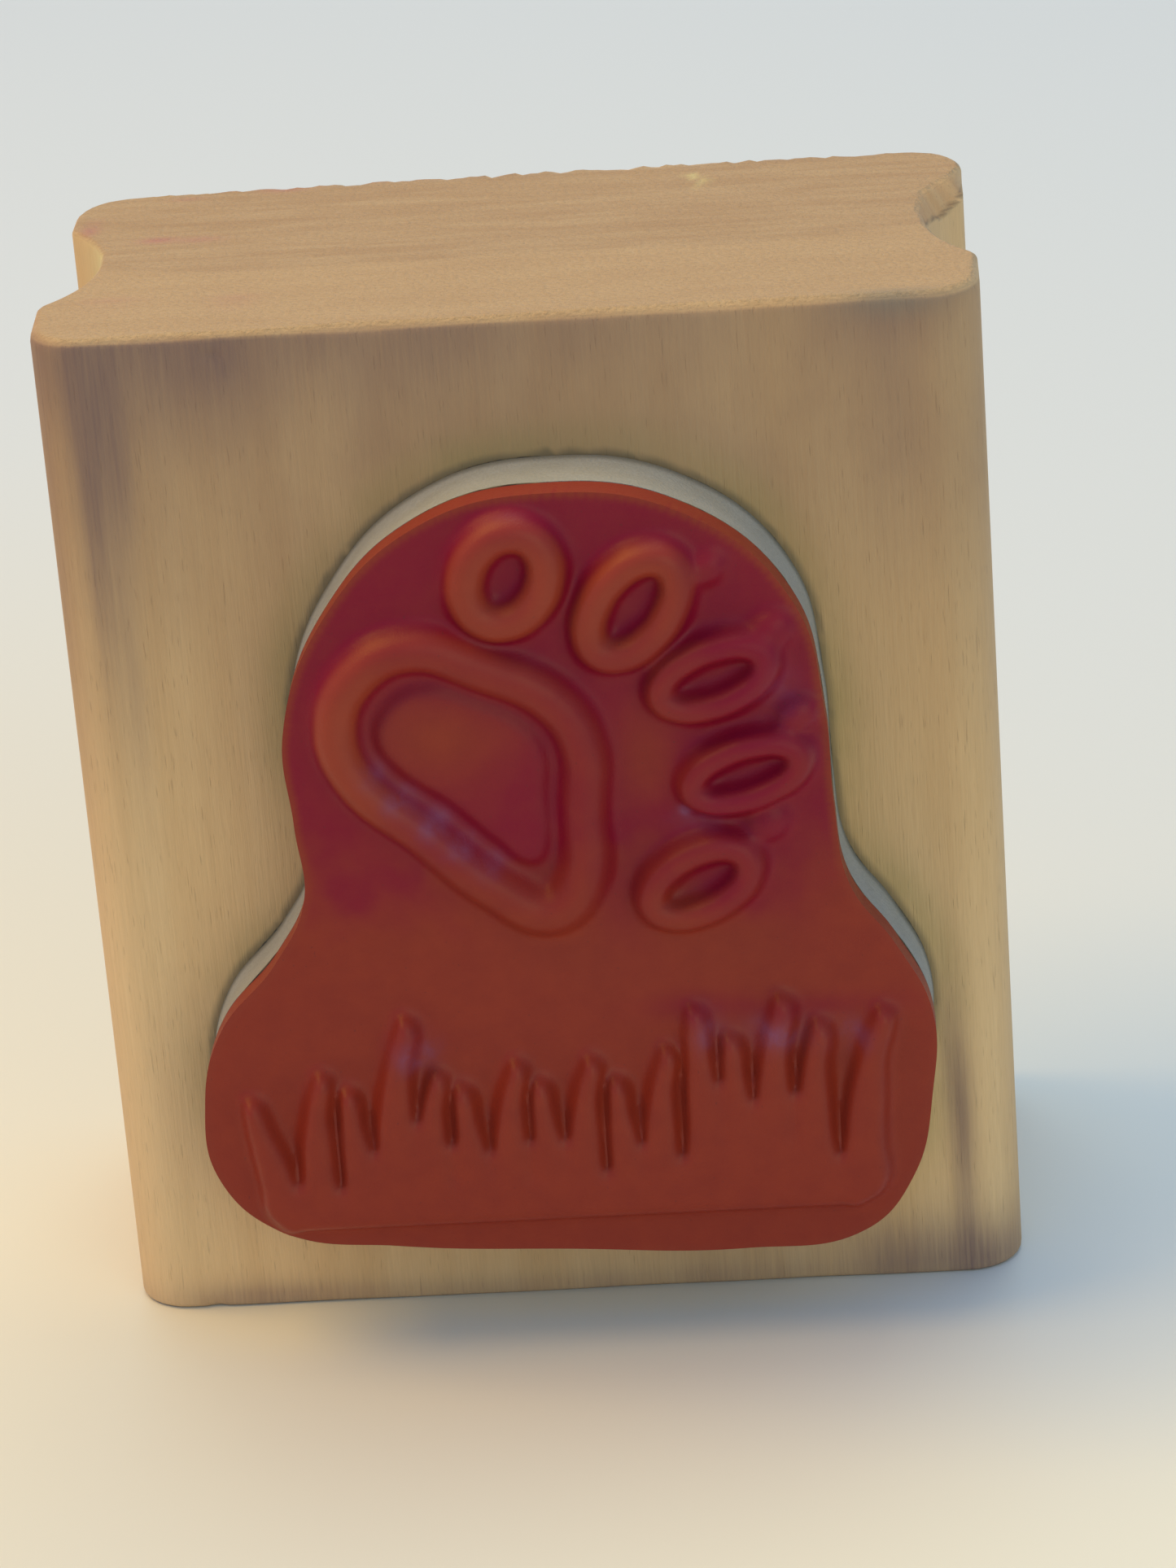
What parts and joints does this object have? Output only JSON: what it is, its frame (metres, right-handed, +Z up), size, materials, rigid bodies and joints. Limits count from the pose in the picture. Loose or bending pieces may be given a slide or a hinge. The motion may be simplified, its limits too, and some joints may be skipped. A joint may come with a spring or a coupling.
{
  "type": "rubber stamp",
  "caption": "Wood-mounted rubber stamp: a grooved hardwood block with a foam cushion and a moulded rubber die cut to a paw and grass design.",
  "frame": {"origin": "middle of the block's lower sawn end, the end that it stands on", "axes": "+X across the block to the right seen from the printing side, +Y from the printing side to the crown, +Z up along the grain"},
  "size_m": [0.0508, 0.0323, 0.0588],
  "materials": {
    "bare_wood": "bare, finely sanded hardwood with sawn end grain",
    "adhesive": "clear acrylic adhesive film, dulled at its cut edge",
    "foam": "matt closed-cell foam, light grey",
    "red_rubber": "satin moulded rubber, brick red, stained crimson by ink"
  },
  "bodies": {
    "block": {"wood_block": "bare_wood", "block_adhesive": "adhesive", "foam_cushion": "foam"},
    "die": {"die_adhesive": "adhesive", "rubber_die": "red_rubber"}
  },
  "joints": [
    {"name": "cushion_squeeze", "type": "slide", "parent": "block", "child": "die", "axis": [0, 1, 0], "range_m": [0, 0.001], "stiffness_N_per_m": 50000, "deforming": ["foam_cushion"]}
  ]
}
